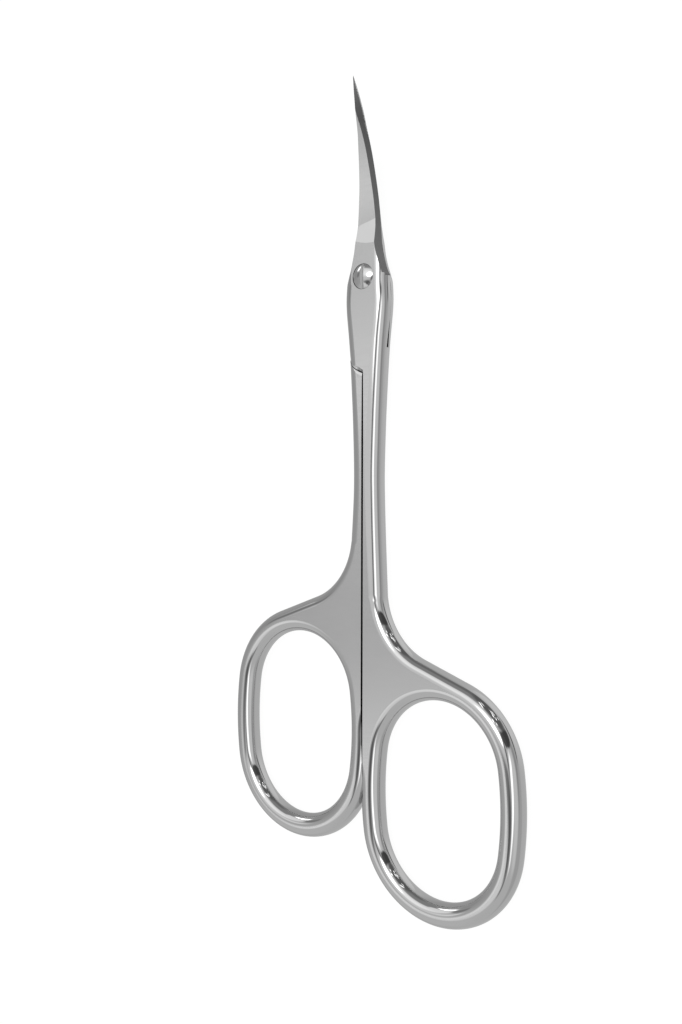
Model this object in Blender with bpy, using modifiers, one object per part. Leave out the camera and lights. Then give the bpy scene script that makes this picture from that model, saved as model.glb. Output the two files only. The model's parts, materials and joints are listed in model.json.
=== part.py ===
"""Cuticle scissors with fine upturned blades: two forged steel halves and a slotted pivot screw.

Units are metres. The scissors lie on their back, closed, with the blade tips towards +Y and the
front face up. The origin is under the middle of their bounding box. The pivot axis is vertical.
"""

from math import asin, cos, pi, radians, sin, sqrt

import bmesh
import bpy
import numpy
from mathutils import Matrix, Vector

MM = 0.001

# Finger rings. Each hole is an oval of two round ends joined by flatter sides.
RING_SPREAD = 11.8 * MM  # from the seam to the middle of a ring
THUMB_RING_DROP = 62.0 * MM  # from the pivot to the middle of a ring
FINGER_RING_DROP = 69.4 * MM
RING_WIRE = 3.3 * MM
SEAM_WALL = 2.43 * MM  # what the seam leaves of a ring's wire beside the other ring
HOLE_BULGE = 0.27 * MM  # how far the hole's flatter sides stand out past its round ends
HOLE_END_OFFSET = 4.05 * MM

# Handles
HANDLE_THICKNESS = 3.2 * MM
EDGE_ROUND = 1.55 * MM  # every outer edge of the handles is nearly full round
SEAM_GAP = 0.2 * MM
ARM_TOP_WIDTH = 2.76 * MM  # of one arm just below the joint
ARM_TOP_DROP = 14.0 * MM
ARM_WIDTH = 2.43 * MM
ARM_DROP_SHARE = 0.339  # of the way from the pivot to the middle of the upper ring
WAIST_WIDTH = 2.29 * MM  # of one arm at its narrowest
WAIST_DROP_SHARE = 0.46
FINGER_WEB_WIDTH = 2.8 * MM  # of the arm where the web starts to spread
THUMB_WEB_WIDTH = 2.6 * MM
WEB_FILLET = 9.5 * MM
WEB_SLOPE = radians(19.8)
WEB_START = radians(8)  # how far round the fillet the arm's side meets it

# Joint
JOINT_TOP_HALF_WIDTH = 3.5 * MM
JOINT_TOP_DROP = 0.8 * MM  # how far below the pivot the neck starts
JOINT_HALF_WIDTH = 3.6 * MM
JOINT_WIDEST_DROP = 3.8 * MM
JOINT_LOW_HALF_WIDTH = 3.1 * MM
JOINT_LOW_DROP = 9.0 * MM
BLADE_GAP = 0.2 * MM  # between the two halves' mating faces
FRONT_LAP_DROP = 10.7 * MM  # from the pivot to the outer end of the front half's lap
BACK_LAP_DROP = 9.5 * MM
LAP_SLANT = 2.3 * MM  # how much lower each lap ends at the seam

# Blades, measured before they are bent
BLADE_REACH = 26.5 * MM  # from the pivot to the tip
BLADE_ROOT = 7.4 * MM  # from the pivot to where a blade leaves its neck
FACET_HALF_WIDTH = 3.62 * MM  # of the ground facet's foot where the neck starts
EDGE_HALF_WIDTH = 1.95 * MM  # of the cutting edge at the root, from the blades' middle line
SPINE_HALF_WIDTH = 1.43 * MM
SPINE_FOOT_HALF_WIDTH = 1.77 * MM
BLADE_THICKNESS = 0.85 * MM
BEVEL_SLOPE = radians(70)
BLADE_SHIFT = 0.1 * MM  # of the closed blades' middle line at the root, to the right
BEND_START = 5.0 * MM  # from the pivot
BEND_RADIUS = 62.5 * MM

# Pivot screw
HEAD_RADIUS = 1.68 * MM
HEAD_RIM = 0.15 * MM
HEAD_DOME = 0.3 * MM
SHANK_RADIUS = 1.1 * MM
SCREW_CLEARANCE = 0.1 * MM
SLOT_WIDTH = 0.45 * MM
SLOT_DEPTH = 0.35 * MM

# Mesh fineness
ARC_STEP = radians(9)
ARC_STEPS = 4  # in a short arc, at least
CURVE_STEPS = 3  # to each stretch of a smooth outline or loft
EDGE_SEGMENTS = 3
SIDE_SEGMENTS = 6
SCREW_STEPS = 40
WELD = 0.001 * MM
OVERRUN = 2.0 * MM  # of a cutter past what it cuts
PROUD = 0.02 * MM  # of the neck past the plate that it joins, and of a blade before its back is cut

HALF_THICKNESS = HANDLE_THICKNESS / 2
MATING = BLADE_GAP / 2
SEAM = SEAM_GAP / 2
HOLE_HALF_WIDTH = RING_SPREAD - SEAM - SEAM_WALL
HOLE_END_RADIUS = HOLE_HALF_WIDTH - HOLE_BULGE
ARM_DROP = min(THUMB_RING_DROP, FINGER_RING_DROP) * ARM_DROP_SHARE
WAIST_DROP = min(THUMB_RING_DROP, FINGER_RING_DROP) * WAIST_DROP_SHARE
RING_BOTTOM = FINGER_RING_DROP + HOLE_END_OFFSET + HOLE_END_RADIUS + RING_WIRE
PIVOT_Y = (RING_BOTTOM - BLADE_REACH) / 2


def bend(reach):
    """How far the bent blades rise at this distance from the pivot axis."""
    past = max(reach - BEND_START, 0.0)
    return BEND_RADIUS - sqrt(BEND_RADIUS**2 - past**2)


def bevel_run(height):
    """How far in from its foot the cutting bevel has come at this height."""
    return height * cos(BEVEL_SLOPE) / sin(BEVEL_SLOPE)


def new_collection(name):
    collection = bpy.data.collections.new(name)
    bpy.context.scene.collection.children.link(collection)
    return collection


def steel(name, colour, roughness):
    material = bpy.data.materials.new(name)
    material.use_nodes = True
    shader = material.node_tree.nodes["Principled BSDF"]
    shader.inputs["Base Color"].default_value = (*colour, 1)
    shader.inputs["Roughness"].default_value = roughness
    shader.inputs["Metallic"].default_value = 1
    return material


def arc(centre, radius, start, end):
    """Points on an arc in the handle plane."""
    steps = max(ARC_STEPS, round(abs(end - start) / ARC_STEP))
    turns = [start + (end - start) * step / steps for step in range(steps + 1)]
    return [(centre[0] + radius * cos(turn), centre[1] + radius * sin(turn)) for turn in turns]


def oval_sizes(grow):
    """(end radius, side radius, side centre offset, end angle) of the hole's oval, grown by this."""
    bulge = HOLE_HALF_WIDTH - HOLE_END_RADIUS
    side_radius = (HOLE_END_OFFSET**2 + bulge**2) / (2 * bulge) + HOLE_END_RADIUS
    side_offset = side_radius - HOLE_HALF_WIDTH
    end_angle = asin(HOLE_END_OFFSET / (side_radius - HOLE_END_RADIUS))
    return HOLE_END_RADIUS + grow, side_radius + grow, side_offset, end_angle


def hole_outline(ring_drop, inset):
    """The finger hole, clockwise, opened up by the inset."""
    end_radius, side_radius, side_offset, turn = oval_sizes(inset)
    middle = -ring_drop
    top = (RING_SPREAD, middle + HOLE_END_OFFSET)
    bottom = (RING_SPREAD, middle - HOLE_END_OFFSET)
    right = (RING_SPREAD - side_offset, middle)
    left = (RING_SPREAD + side_offset, middle)
    points = arc(top, end_radius, pi - turn, turn)
    points += arc(right, side_radius, turn, -turn)[1:]
    points += arc(bottom, end_radius, -turn, turn - pi)[1:]
    points += arc(left, side_radius, pi + turn, pi - turn)[1:-1]
    return points


def fair(rows):
    """Rows of values, such as points, with smooth steps put in between them."""
    rows = [numpy.array(row) for row in rows]
    ends = [rows[0] * 2 - rows[1]] + rows + [rows[-1] * 2 - rows[-2]]
    steps = []
    for before, start, end, after in zip(ends, ends[1:], ends[2:], ends[3:]):
        leave = (end - before) / 2
        arrive = (after - start) / 2
        for step in range(CURVE_STEPS):
            t = step / CURVE_STEPS
            place = start * (2 * t**3 - 3 * t**2 + 1) + end * (3 * t**2 - 2 * t**3)
            steps.append(place + leave * (t**3 - 2 * t**2 + t) + arrive * (t**3 - t**2))
    return [tuple(map(float, row)) for row in steps + [rows[-1]]]


def web_outline(ring_drop, web_width, inset):
    """Round the web's fillet from the arm's side, and on to the ring's outer side."""
    end_radius = oval_sizes(RING_WIRE - inset)[0]
    ring_top = Vector((RING_SPREAD, HOLE_END_OFFSET - ring_drop))
    across = Vector((sin(WEB_SLOPE), cos(WEB_SLOPE)))
    along = Vector((-cos(WEB_SLOPE), sin(WEB_SLOPE)))
    touch = ring_top + across * (end_radius + inset)
    run = (web_width + WEB_FILLET - touch.x - across.x * WEB_FILLET) / along.x
    fillet = touch + along * run + across * WEB_FILLET
    turn = oval_sizes(0)[3]
    points = arc(fillet, WEB_FILLET + inset, pi + WEB_START, 1.5 * pi - WEB_SLOPE)
    return points + arc(ring_top, end_radius, pi / 2 - WEB_SLOPE, turn)


def joint_side(inset):
    """The joint's right side, from where the neck starts down to the top of the arm."""
    sizes = ((JOINT_TOP_HALF_WIDTH, JOINT_TOP_DROP), (JOINT_HALF_WIDTH, JOINT_WIDEST_DROP),
             (JOINT_LOW_HALF_WIDTH, JOINT_LOW_DROP), (ARM_TOP_WIDTH, ARM_TOP_DROP))
    return [(width - inset, -drop) for width, drop in sizes]


def handle_outline(ring_drop, web_width, inset):
    """One half's plate, clockwise from the top of its joint, drawn in by the inset."""
    end_radius, side_radius, side_offset, turn = oval_sizes(RING_WIRE - inset)
    middle = -ring_drop
    bottom = (RING_SPREAD, middle - HOLE_END_OFFSET)
    outer = (RING_SPREAD - side_offset, middle)
    inner = (RING_SPREAD + side_offset, middle)
    web = web_outline(ring_drop, web_width, inset)
    arm = [(ARM_WIDTH - inset, -ARM_DROP), (WAIST_WIDTH - inset, -WAIST_DROP), web[0]]
    points = [(JOINT_TOP_HALF_WIDTH - inset, 0)] + fair(joint_side(inset) + arm) + web[1:]
    points += arc(outer, side_radius, turn, -turn)[1:]
    points += arc(bottom, end_radius, -turn, turn - pi)[1:]
    points += arc(inner, side_radius, pi + turn, pi)[1:]
    points += [(inset - ARM_TOP_WIDTH, middle + HOLE_END_RADIUS)]
    points += [(-x, y) for x, y in fair(joint_side(inset))[::-1]]
    return points + [(inset - JOINT_TOP_HALF_WIDTH, 0)]


def to_mesh_object(curve_object, collection):
    """A mesh copy of a curve object, with its caps welded. The curve is removed."""
    graph = bpy.context.evaluated_depsgraph_get()
    mesh = bpy.data.meshes.new_from_object(curve_object.evaluated_get(graph))
    shape = bmesh.new()
    shape.from_mesh(mesh)
    bmesh.ops.remove_doubles(shape, verts=shape.verts, dist=WELD)
    shape.to_mesh(mesh)
    shape.free()
    name = curve_object.name
    curve = curve_object.data
    bpy.data.objects.remove(curve_object)
    bpy.data.curves.remove(curve)
    result = bpy.data.objects.new(name, mesh)
    collection.objects.link(result)
    return result


def flat_curve(name, outlines, thickness, edge_round, collection):
    """A plate with these outlines, lying in the XY plane, half of it on each side."""
    curve = bpy.data.curves.new(name, "CURVE")
    curve.dimensions = "2D"
    curve.fill_mode = "BOTH"
    curve.extrude = thickness / 2 - edge_round
    curve.bevel_depth = edge_round
    curve.bevel_resolution = EDGE_SEGMENTS
    for outline in outlines:
        spline = curve.splines.new("POLY")
        spline.points.add(len(outline) - 1)
        for point, (x, y) in zip(spline.points, outline):
            point.co = (x, y, 0, 1)
        spline.use_cyclic_u = True
    curve_object = bpy.data.objects.new(name, curve)
    collection.objects.link(curve_object)
    bpy.context.view_layer.update()
    return to_mesh_object(curve_object, collection)


def cutter(name, outline, bottom, top):
    """A straight-sided cutter with this plan, between two heights."""
    made = flat_curve(name, [outline], top - bottom, 0.0, cutters)
    made.location.z = (top + bottom) / 2
    made.hide_render = True
    made.display_type = "WIRE"
    return made


def apply_boolean(target, other, operation):
    modifier = target.modifiers.new(operation.title(), "BOOLEAN")
    modifier.operation = operation
    modifier.object = other
    bpy.context.view_layer.update()
    graph = bpy.context.evaluated_depsgraph_get()
    mesh = bpy.data.meshes.new_from_object(target.evaluated_get(graph))
    target.modifiers.clear()
    old = target.data
    target.data = mesh
    bpy.data.meshes.remove(old)


def between(start, end, share):
    return start + (end - start) * share


def side_points(foot, top, low, high, roundness):
    """A side from its foot up to its top, straight or swelling to a quarter of an ellipse."""
    points = []
    for step in range(SIDE_SEGMENTS + 1):
        share = step / SIDE_SEGMENTS
        turn = share * pi / 2
        points.append((between(foot, top, between(share, 1 - cos(turn), roundness)),
                       between(low, high, between(share, sin(turn), roundness))))
    return points


def ground(side, edge):
    """The side's points, cut back to the cutting bevel that rises from this edge."""
    return [(min(x, edge - bevel_run(z - MATING)), z) for x, z in side]


def neck_section(neck_shares, shift):
    """A section of the neck: each share goes from 0 at the joint to 1 at the blade's root."""
    reach, left_foot, left_top, edge, height, roundness = neck_shares
    wide = JOINT_TOP_HALF_WIDTH + PROUD
    flat = JOINT_TOP_HALF_WIDTH - EDGE_ROUND
    low = MATING - PROUD
    top = between(HALF_THICKNESS + PROUD, MATING + BLADE_THICKNESS, max(height, 0))
    left = side_points(between(-wide, shift - SPINE_FOOT_HALF_WIDTH, left_foot),
                       between(-flat, shift - SPINE_HALF_WIDTH, left_top), low, top, roundness)
    edge = between(FACET_HALF_WIDTH, shift + EDGE_HALF_WIDTH, edge)
    right = ground(side_points(wide, flat, low, top, 1), edge)
    y = between(-JOINT_TOP_DROP, BLADE_ROOT, reach)
    return [(x, y, z) for x, z in left + right[::-1]]


def blade_section(blade_shares, shift):
    """A section of the blade, with its places as shares of their sizes at the blade's root."""
    reach, edge, spine, foot, thickness = blade_shares
    middle = shift * (1 - reach)
    low = MATING - PROUD
    top = MATING + BLADE_THICKNESS * thickness
    edge = middle + EDGE_HALF_WIDTH * edge
    spine = middle - SPINE_HALF_WIDTH * spine
    left = side_points(middle - SPINE_FOOT_HALF_WIDTH * foot, spine, low, top, 0)
    ridge = max(edge - bevel_run(top - MATING), spine)
    right = side_points(edge, ridge, low, top, 0)
    y = between(BLADE_ROOT, BLADE_REACH, reach)
    return [(x, y, z) for x, z in left + right[::-1]]


# Each row: reach, left foot, left top, edge, height, roundness of the left side
NECK_SHARES = (
    (0.00, 0.00, 0.00, 0.00, 0.00, 1.0),
    (0.12, 0.18, 0.00, 0.26, 0.00, 1.0),
    (0.23, 0.33, 0.10, 0.42, 0.00, 0.8),
    (0.34, 0.48, 0.21, 0.55, 0.00, 0.6),
    (0.51, 0.67, 0.73, 0.69, 0.00, 0.2),
    (0.63, 0.76, 1.00, 0.77, 0.00, 0.0),
    (0.72, 0.83, 1.00, 0.83, 0.30, 0.0),
    (0.83, 0.91, 1.00, 0.90, 0.68, 0.0),
    (0.91, 0.95, 1.00, 0.95, 0.90, 0.0),
)
# Each row: reach, cutting edge, spine, spine's foot, thickness
BLADE_SHARES = (
    (0.00, 1.00, 1.00, 1.00, 1.00),
    (0.15, 0.92, 0.79, 0.81, 1.00),
    (0.30, 0.80, 0.53, 0.64, 1.00),
    (0.50, 0.63, 0.30, 0.46, 0.98),
    (0.63, 0.48, 0.15, 0.34, 0.95),
    (0.76, 0.31, 0.09, 0.25, 0.86),
    (0.88, 0.165, 0.04, 0.165, 0.53),
    (0.95, 0.08, 0.02, 0.09, 0.30),
    (1.00, 0.02, 0.00, 0.02, 0.06),
)


def loft(name, sections, collection):
    """A closed skin over sections that all have the same number of points."""
    shape = bmesh.new()
    rings = [[shape.verts.new(point) for point in section] for section in sections]
    for one, two in zip(rings, rings[1:]):
        for index in range(len(one)):
            after = (index + 1) % len(one)
            shape.faces.new((one[index], one[after], two[after], two[index]))
    shape.faces.new(rings[0])
    shape.faces.new(rings[-1])
    bmesh.ops.recalc_face_normals(shape, faces=shape.faces)
    mesh = bpy.data.meshes.new(name)
    shape.to_mesh(mesh)
    shape.free()
    made = bpy.data.objects.new(name, mesh)
    collection.objects.link(made)
    return made


def seam_outline(lap_drop, swell):
    """The plan of what lies across the seam and below the lap, seen from the front.

    With a swell, the ring bulges past the seam where the thumb ring has curved away from it.
    """
    far = RING_SPREAD * 3
    points = [(-far, -lap_drop), (-ARM_TOP_WIDTH, -lap_drop), (SEAM, -lap_drop - LAP_SLANT)]
    if not swell:
        below = RING_BOTTOM + OVERRUN
        return points + [(SEAM, -below), (-far, -below)]
    start_share = 0.45
    long_share = 0.4
    swell_shares = ((0, 0), (0.25, 0.33), (0.7, 0.67), (1, 1))
    start = THUMB_RING_DROP + HOLE_END_OFFSET + HOLE_END_RADIUS * start_share
    long = HOLE_END_RADIUS * long_share
    deep = RING_WIRE - SEAM_WALL
    points += [(SEAM - deep * out, -start - long * down) for out, down in swell_shares]
    return points + [(-far, -start - long)]


def lap_outline(other_lap_drop):
    """The plan of what the other half's plate takes up under this one."""
    far = RING_SPREAD * 3
    lap_end = other_lap_drop + LAP_SLANT
    low = FRONT_LAP_DROP + LAP_SLANT + OVERRUN
    points = [(far, -other_lap_drop), (far, BLADE_REACH + OVERRUN)]
    points += [(-far, BLADE_REACH + OVERRUN), (-far, -low), (-SEAM, -low)]
    return points + [(-SEAM, -lap_end), (ARM_TOP_WIDTH, -other_lap_drop)]


def joint_top_outline():
    """The plan of the plate's end that the neck takes the place of."""
    far = JOINT_HALF_WIDTH + OVERRUN
    bottom = PROUD - JOINT_TOP_DROP
    return [(-far, bottom), (far, bottom), (far, BLADE_REACH), (-far, BLADE_REACH)]


def turned(name, profile, collection):
    """A solid of revolution about the pivot axis. The profile runs down its outer side."""
    shape = bmesh.new()
    verts = [shape.verts.new((radius, 0, z)) for radius, z in profile]
    for one, two in zip(verts, verts[1:]):
        shape.edges.new((one, two))
    mesh = bpy.data.meshes.new(name)
    shape.to_mesh(mesh)
    shape.free()
    made = bpy.data.objects.new(name, mesh)
    collection.objects.link(made)
    spin = made.modifiers.new("Screw", "SCREW")
    spin.steps = SCREW_STEPS
    spin.render_steps = SCREW_STEPS
    spin.use_merge_vertices = True
    spin.merge_threshold = WELD
    return made


def screw_profile(grow, low, high):
    """The screw's outer side from the dome's edge to its end, grown by a clearance."""
    rim = HEAD_RADIUS + grow
    shank = SHANK_RADIUS + grow
    rim_low = HALF_THICKNESS - HEAD_RIM * 2 - grow
    cone_low = rim_low - (HEAD_RADIUS - SHANK_RADIUS)
    return [(rim, high), (rim, rim_low), (shank, cone_low), (shank, low), (0, low)]


def pivot_screw():
    """A low domed head with one slot, a countersunk cone and a shank that ends in the back."""
    edge = HALF_THICKNESS - HEAD_RIM
    crown = edge + HEAD_DOME
    dome = [(0, crown)]
    for step in range(1, SIDE_SEGMENTS):
        turn = step / SIDE_SEGMENTS * pi / 2
        dome.append((HEAD_RADIUS * sin(turn), edge + HEAD_DOME * cos(turn)))
    end = -HALF_THICKNESS + SCREW_CLEARANCE
    screw = turned("pivot_screw", dome + screw_profile(0, end, edge), parts)
    slot = cutter("slot", [(-SLOT_WIDTH / 2, -HEAD_RADIUS - OVERRUN),
                           (SLOT_WIDTH / 2, -HEAD_RADIUS - OVERRUN),
                           (SLOT_WIDTH / 2, HEAD_RADIUS + OVERRUN),
                           (-SLOT_WIDTH / 2, HEAD_RADIUS + OVERRUN)],
                  crown - SLOT_DEPTH, crown + OVERRUN)
    apply_boolean(screw, slot, "DIFFERENCE")
    return screw


def bend_blade(half_object):
    """Lifts the blade by the bend, so the mating faces stay the same gap apart at any opening."""
    for vertex in half_object.data.vertices:
        if vertex.co.y > 0:
            vertex.co.z += bend(vertex.co.xy.length)


def half(name, ring_drop, web_width, lap_drop, other_lap_drop, shift, swell):
    """One half with its ring to the right and its plate in front, before it is turned or bent."""
    outlines = [handle_outline(ring_drop, web_width, EDGE_ROUND),
                hole_outline(ring_drop, EDGE_ROUND)]
    made = flat_curve(name, outlines, HANDLE_THICKNESS, EDGE_ROUND, parts)
    tall = HANDLE_THICKNESS
    end = cutter(name + "_end", joint_top_outline(), -tall, tall)
    apply_boolean(made, end, "DIFFERENCE")
    sections = [neck_section(row, shift) for row in fair(NECK_SHARES)]
    sections += [blade_section(row, shift) for row in fair(BLADE_SHARES)]
    blade = loft(name + "_blade", sections, cutters)
    blade.hide_render = True
    blade.display_type = "WIRE"
    apply_boolean(made, blade, "UNION")
    lap = cutter(name + "_lap", lap_outline(other_lap_drop), -tall, MATING)
    apply_boolean(made, lap, "DIFFERENCE")
    seam = cutter(name + "_seam", seam_outline(lap_drop, swell), -tall, tall)
    apply_boolean(made, seam, "DIFFERENCE")
    return made


def cut_screw_hole(half_object, name):
    high = HALF_THICKNESS + OVERRUN
    hole = turned(name, [(0, high)] + screw_profile(SCREW_CLEARANCE, -high, high), cutters)
    hole.hide_render = True
    hole.display_type = "WIRE"
    apply_boolean(half_object, hole, "DIFFERENCE")


def place(made, material):
    """Sets a finished piece over the rest plane, with its origin on the pivot axis."""
    made.data.materials.clear()
    made.data.materials.append(material)
    made.location = (0, PIVOT_Y, HALF_THICKNESS)
    made.data.shade_smooth()
    made.data.set_sharp_from_angle(angle=radians(35))


for old in list(bpy.data.objects):
    bpy.data.objects.remove(old)

parts = new_collection("cuticle_scissors")
cutters = new_collection("cutters")
satin_steel = steel("satin_steel", (0.56, 0.56, 0.56), 0.3)
bright_steel = steel("bright_steel", (0.62, 0.62, 0.62), 0.12)

front_half = half("front_half", FINGER_RING_DROP, FINGER_WEB_WIDTH,
                  FRONT_LAP_DROP, BACK_LAP_DROP, BLADE_SHIFT, True)
back_half = half("back_half", THUMB_RING_DROP, THUMB_WEB_WIDTH,
                 BACK_LAP_DROP, FRONT_LAP_DROP, -BLADE_SHIFT, False)
back_half.data.transform(Matrix.Rotation(pi, 4, "Y"))
for half_object in (front_half, back_half):
    cut_screw_hole(half_object, half_object.name + "_hole")
    bend_blade(half_object)
    place(half_object, satin_steel)
place(pivot_screw(), bright_steel)
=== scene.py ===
"""Dresses the cuticle scissors: two forged and ground steel halves and their slotted pivot screw.

Each half is modelled as it is made: a blank with rounded sides, its hole, then the grinding of
the joint, the seam, the cutting bevel and the blade's upper face, and last the bend of the blade.
A half is drawn lying with its ring to the right, its pivot axis at the origin and its middle
plane at z = 0. The back half is the same piece turned over.
"""

import json
from math import asin, cos, pi, radians, sin, sqrt, tan

import bmesh
import bpy
import numpy
from mathutils import Matrix, Vector


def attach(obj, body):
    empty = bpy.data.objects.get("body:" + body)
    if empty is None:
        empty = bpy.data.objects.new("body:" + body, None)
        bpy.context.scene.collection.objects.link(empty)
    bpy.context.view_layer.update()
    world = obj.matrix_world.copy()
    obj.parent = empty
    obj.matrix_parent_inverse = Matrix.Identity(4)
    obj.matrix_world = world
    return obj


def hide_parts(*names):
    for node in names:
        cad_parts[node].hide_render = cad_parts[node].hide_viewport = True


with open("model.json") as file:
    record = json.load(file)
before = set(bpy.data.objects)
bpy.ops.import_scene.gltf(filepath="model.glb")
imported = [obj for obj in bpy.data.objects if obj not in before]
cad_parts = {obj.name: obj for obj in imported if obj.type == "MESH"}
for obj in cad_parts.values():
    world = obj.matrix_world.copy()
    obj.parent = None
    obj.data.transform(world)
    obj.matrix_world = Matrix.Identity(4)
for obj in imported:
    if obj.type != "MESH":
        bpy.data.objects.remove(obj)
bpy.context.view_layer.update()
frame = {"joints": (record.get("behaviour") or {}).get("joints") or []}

MM = 0.001
DEGREE = pi / 180
PIVOT = Vector(frame["joints"][0]["pos_m"])

# Finger rings, as in the frame
RING_SPREAD = 11.8 * MM
FINGER_RING_DROP = 69.4 * MM
THUMB_RING_DROP = 62.0 * MM
RING_WIRE = 3.3 * MM
HOLE_HALF_WIDTH = 9.27 * MM
HOLE_END_RADIUS = 9.0 * MM
HOLE_END_OFFSET = 4.05 * MM

# Handles
HALF_THICKNESS = PIVOT.z
SEAM = 0.16 * MM
SEAM_TOP = 0.10 * MM
SEAM_WIDE_DROP = 22.0 * MM
RING_ROUND = 1.59 * MM
ARM_ROUND = 1.8 * MM
ROUND_FULLNESS = 2.0  # 1 is a straight slope, 2 a quarter of an ellipse
WEB_FILLET = 9.5 * MM
WEB_SLOPE = radians(19.8)
WEB_START = radians(8)
WEB_STEPS = 12
FINGER_WEB_WIDTH = 2.8 * MM
THUMB_WEB_WIDTH = 2.6 * MM
INNER_SWEEP = 9.8 * MM  # radius of the curve that leads the ring's inner side away from the seam
INNER_SWEEP_TURN = radians(50)
INNER_SIDE_DROP = 30.0 * MM  # where that side has turned up along the arm, in metal the seam takes off

# The foot of the thumb ring's wire, which swells past the seam
SWELL_START_SHARE = 0.45  # of the hole's end radius
SWELL_LENGTH_SHARE = 0.4
SWELL_STEPS = 12

# Joint and blades
JOINT_TOP_HALF_WIDTH = 3.5 * MM
MATING = 0.1 * MM  # where the blade's thickness starts, over the middle plane
FRONT_LAP_DROP = 10.7 * MM
BACK_LAP_DROP = 9.5 * MM
LAP_SLANT = 2.3 * MM
LAP_OPENS = 5.9 * MM
LAP_SLOPE = 0.045
LAP_CUT_PAST = 0.37 * MM  # how far the flat cut runs on under the sloping one
LAP_CUT_OVER = 1.0 * MM  # and the sloping one over the flat one
LAP_CUT_FOOT = 0.2 * MM
TOUCHING = 0.01 * MM
BEVEL_FOOT = TOUCHING / 2  # just under the mating face, so that the two never share an edge
BLADE_REACH = 26.5 * MM
BLADE_THICKNESS = 0.85 * MM
BEND_START = 5.0 * MM
BEND_RADIUS = 62.5 * MM

# Pivot screw
HEAD_RADIUS = 1.68 * MM
HEAD_EDGE = 0.05 * MM
HEAD_DOME = 0.42 * MM
SHANK_RADIUS = 1.1 * MM
SCREW_GAP = 0.05 * MM
SLOT_WIDTH = 0.74 * MM
SLOT_FLOOR_WIDTH = 0.25 * MM
SLOT_DEPTH = 0.44 * MM
SEAT_SINK = HEAD_EDGE * 3
SHANK_SHORT = 0.1 * MM  # how far the shank ends inside the back half's face
SHANK_CHAMFER = 0.1 * MM
SHANK_TIP_SHARE = 0.9
SCREW_SIDES = 96
DOME_STEPS = 16

# Finishes of a half, and the screw's second one, painted shade on the floor of its slot
FLAT, ROUNDED, BEVEL = range(3)
SLOT_SHADE = 1
STEEL_COLOUR = 0.62
# Painted shade: the cutting bevel's steel is darkened to stand in for the dark that the bevel reflects
BEVEL_SHADE_COLOUR = 0.215
# The slot floor's darker steel is painted shade, which stands in for the shade down in the slot
SLOT_SHADE_COLOUR = 0.35
TURNED_OVER = Matrix.Rotation(pi, 4, "Y")

# Fineness
ENLARGED = 1000  # pieces are cut at this many times their size, where small faces hold up
SPACING = 0.35 * MM
ARC_STEPS_AT_LEAST = 4
FAIRED_STEPS_AT_LEAST = 2
EDGE_STEPS = 14
OVERRUN = 2.0 * MM
PAST_RINGS = RING_SPREAD * 3
WELD = 0.0005 * MM
SMOOTH_BELOW = radians(20)


def pick(*pieces):
    """Selects only these objects and makes the first one active."""
    bpy.ops.object.select_all(action="DESELECT")
    for piece in pieces:
        piece.select_set(True)
    bpy.context.view_layer.objects.active = pieces[0]


def settle(piece, points):
    """Moves the selected vertices to their points, by the place that each one keeps."""
    shape = bmesh.from_edit_mesh(piece.data)
    place = shape.verts.layers.int["place"]
    for vertex in shape.verts:
        if vertex.select:
            vertex.co = points[vertex[place]] * ENLARGED
    bmesh.update_edit_mesh(piece.data)


def skin(name, counts, layers):
    """A closed mesh pulled through layers of points. Each layer is loops of these counts."""
    bpy.ops.object.select_all(action="DESELECT")
    bpy.ops.mesh.primitive_circle_add(vertices=counts[0], radius=1)
    piece = bpy.context.object
    piece.name = name
    bpy.ops.object.mode_set(mode="EDIT")
    for count in counts[1:]:
        bpy.ops.mesh.primitive_circle_add(vertices=count, radius=1)
    bpy.ops.mesh.select_mode(type="VERT")
    bpy.ops.mesh.select_all(action="SELECT")
    shape = bmesh.from_edit_mesh(piece.data)
    place = shape.verts.layers.int.new("place")
    for index, vertex in enumerate(shape.verts):
        vertex[place] = index
    settle(piece, layers[0])
    bpy.ops.mesh.fill(use_beauty=False)
    for layer in layers[1:]:
        bpy.ops.mesh.extrude_region_move()
        settle(piece, layer)
    bpy.ops.mesh.select_all(action="SELECT")
    bpy.ops.mesh.normals_make_consistent(inside=False)
    bpy.ops.object.mode_set(mode="OBJECT")
    return piece


def prism(name, outline, bottom, top):
    """A straight-sided solid with this plan."""
    layers = [[Vector((x, y, z)) for x, y in outline] for z in (bottom, top)]
    return skin(name, [len(outline)], layers)


def combine(piece, tool, operation="DIFFERENCE"):
    """Cuts a piece with a tool, or joins the tool to it, and removes the tool."""
    modifier = piece.modifiers.new(operation.title(), "BOOLEAN")
    modifier.operation = operation
    modifier.object = tool
    pick(piece)
    bpy.ops.object.modifier_apply(modifier=modifier.name)
    bpy.data.objects.remove(tool)


def arc(centre, radius, start, end):
    """Points on an arc, about one spacing apart."""
    steps = max(ARC_STEPS_AT_LEAST, round(abs(end - start) * radius / SPACING))
    turns = [start + (end - start) * step / steps for step in range(steps + 1)]
    return [(centre[0] + radius * cos(turn), centre[1] + radius * sin(turn)) for turn in turns]


def faired(rows):
    """Rows that start with x and y, with smooth rows between them about one spacing apart."""
    rows = [numpy.array(row, float) for row in rows]
    ends = [rows[0] * 2 - rows[1]] + rows + [rows[-1] * 2 - rows[-2]]
    made = []
    for before, start, end, after in zip(ends, ends[1:], ends[2:], ends[3:]):
        span = numpy.linalg.norm((end - start)[:2])
        steps = max(FAIRED_STEPS_AT_LEAST, round(span / SPACING))
        out_span = numpy.linalg.norm((start - before)[:2])
        in_span = numpy.linalg.norm((after - end)[:2])
        leave = (end - before) / (span + out_span) * span
        arrive = (after - start) / (span + in_span) * span
        for step in range(steps):
            t = step / steps
            place = start * (2 * t**3 - 3 * t**2 + 1) + end * (3 * t**2 - 2 * t**3)
            made.append(place + leave * (t**3 - 2 * t**2 + t) + arrive * (t**3 - t**2))
    return [tuple(map(float, row)) for row in made + [rows[-1]]]


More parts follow.
